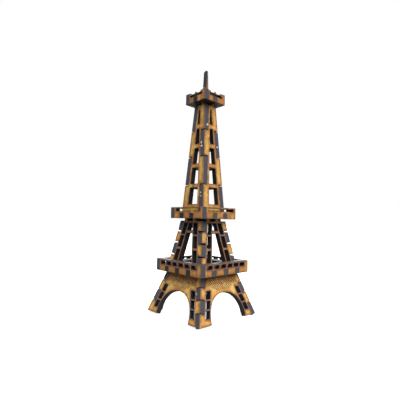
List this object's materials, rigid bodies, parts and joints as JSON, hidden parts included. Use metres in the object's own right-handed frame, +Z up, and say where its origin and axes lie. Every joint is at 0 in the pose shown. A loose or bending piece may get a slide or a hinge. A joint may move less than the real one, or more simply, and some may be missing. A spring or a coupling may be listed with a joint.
{
  "type": "miniature lattice tower",
  "caption": "Souvenir lattice tower slotted together from laser-cut fibreboard: arched legs, square galleries, tapering windowed shaft and a spire.",
  "frame": {"origin": "on the table under the centre of the tower", "axes": "+Z up the tower, -Y out of the front side, +X out of the right side"},
  "size_m": [0.0442, 0.0442, 0.1432],
  "materials": {
    "mdf_panel": "laser-cut fibreboard, golden faces, charred edges",
    "mdf_wall": "laser-cut fibreboard, toasted faces, charred edges",
    "mdf_floor": "laser-cut fibreboard, smoked dark"
  },
  "bodies": {
    "root": {"lower_panel_front": "mdf_panel", "lower_panel_right": "mdf_panel", "lower_panel_back": "mdf_panel", "lower_panel_left": "mdf_panel", "lower_gallery_floor": "mdf_floor", "lower_gallery_wall_front": "mdf_wall", "lower_gallery_wall_right": "mdf_wall", "lower_gallery_wall_back": "mdf_wall", "lower_gallery_wall_left": "mdf_wall", "middle_panel_front": "mdf_panel", "middle_panel_right": "mdf_panel", "middle_panel_back": "mdf_panel", "middle_panel_left": "mdf_panel", "middle_gallery_collar": "mdf_floor", "middle_gallery_floor": "mdf_floor", "middle_gallery_wall_front": "mdf_wall", "middle_gallery_wall_right": "mdf_wall", "middle_gallery_wall_back": "mdf_wall", "middle_gallery_wall_left": "mdf_wall", "upper_panel_front": "mdf_panel", "upper_panel_right": "mdf_panel", "upper_panel_back": "mdf_panel", "upper_panel_left": "mdf_panel", "top_gallery_floor": "mdf_floor", "top_gallery_wall_front": "mdf_wall", "top_gallery_wall_right": "mdf_wall", "top_gallery_wall_back": "mdf_wall", "top_gallery_wall_left": "mdf_wall", "spire_mast": "mdf_panel"}
  },
  "joints": []
}
